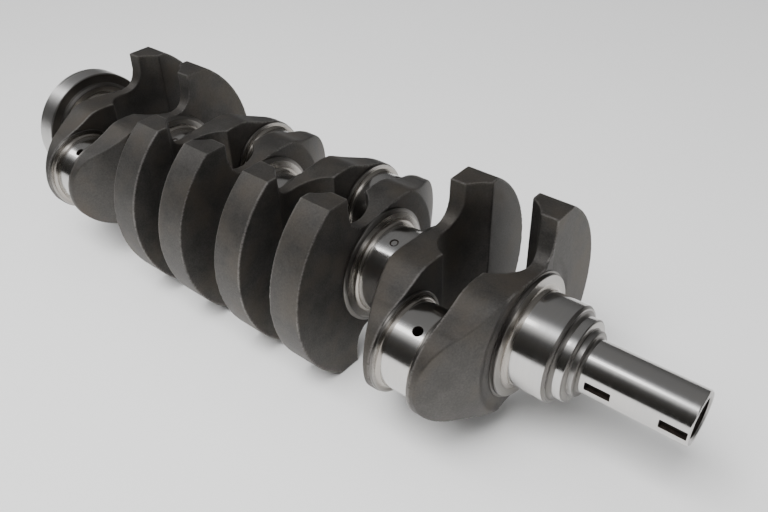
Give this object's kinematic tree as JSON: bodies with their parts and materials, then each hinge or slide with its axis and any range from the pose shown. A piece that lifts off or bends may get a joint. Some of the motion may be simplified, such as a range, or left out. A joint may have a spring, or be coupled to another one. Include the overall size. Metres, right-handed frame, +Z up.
{
  "type": "crankshaft",
  "caption": "Forged crankshaft for an in-line engine: ground journals and crankpins between dark anchor-shaped counterweighted webs, keyed hollow snout, round rear flange.",
  "frame": {"origin": "centre of the footprint, at the height of the counterweight ends that the shaft stands on", "axes": "+X along the crank axis towards the snout, +Z up, -Y towards the first and last crankpins"},
  "size_m": [0.4994, 0.1472, 0.119],
  "materials": {
    "ground_steel": "ground and polished",
    "blasted_forging": "fine blasted, dark"
  },
  "bodies": {
    "root": {"snout": "ground_steel", "snout_step": "ground_steel", "nose_seat": "ground_steel", "main_journal_1": "ground_steel", "main_journal_2": "ground_steel", "main_journal_3": "ground_steel", "main_journal_4": "ground_steel", "main_journal_5": "ground_steel", "crankpin_1": "ground_steel", "crankpin_2": "ground_steel", "crankpin_3": "ground_steel", "crankpin_4": "ground_steel", "web_1": "blasted_forging", "web_2": "blasted_forging", "web_3": "blasted_forging", "web_4": "blasted_forging", "web_5": "blasted_forging", "web_6": "blasted_forging", "web_7": "blasted_forging", "web_8": "blasted_forging", "rear_flange": "ground_steel"}
  },
  "joints": []
}
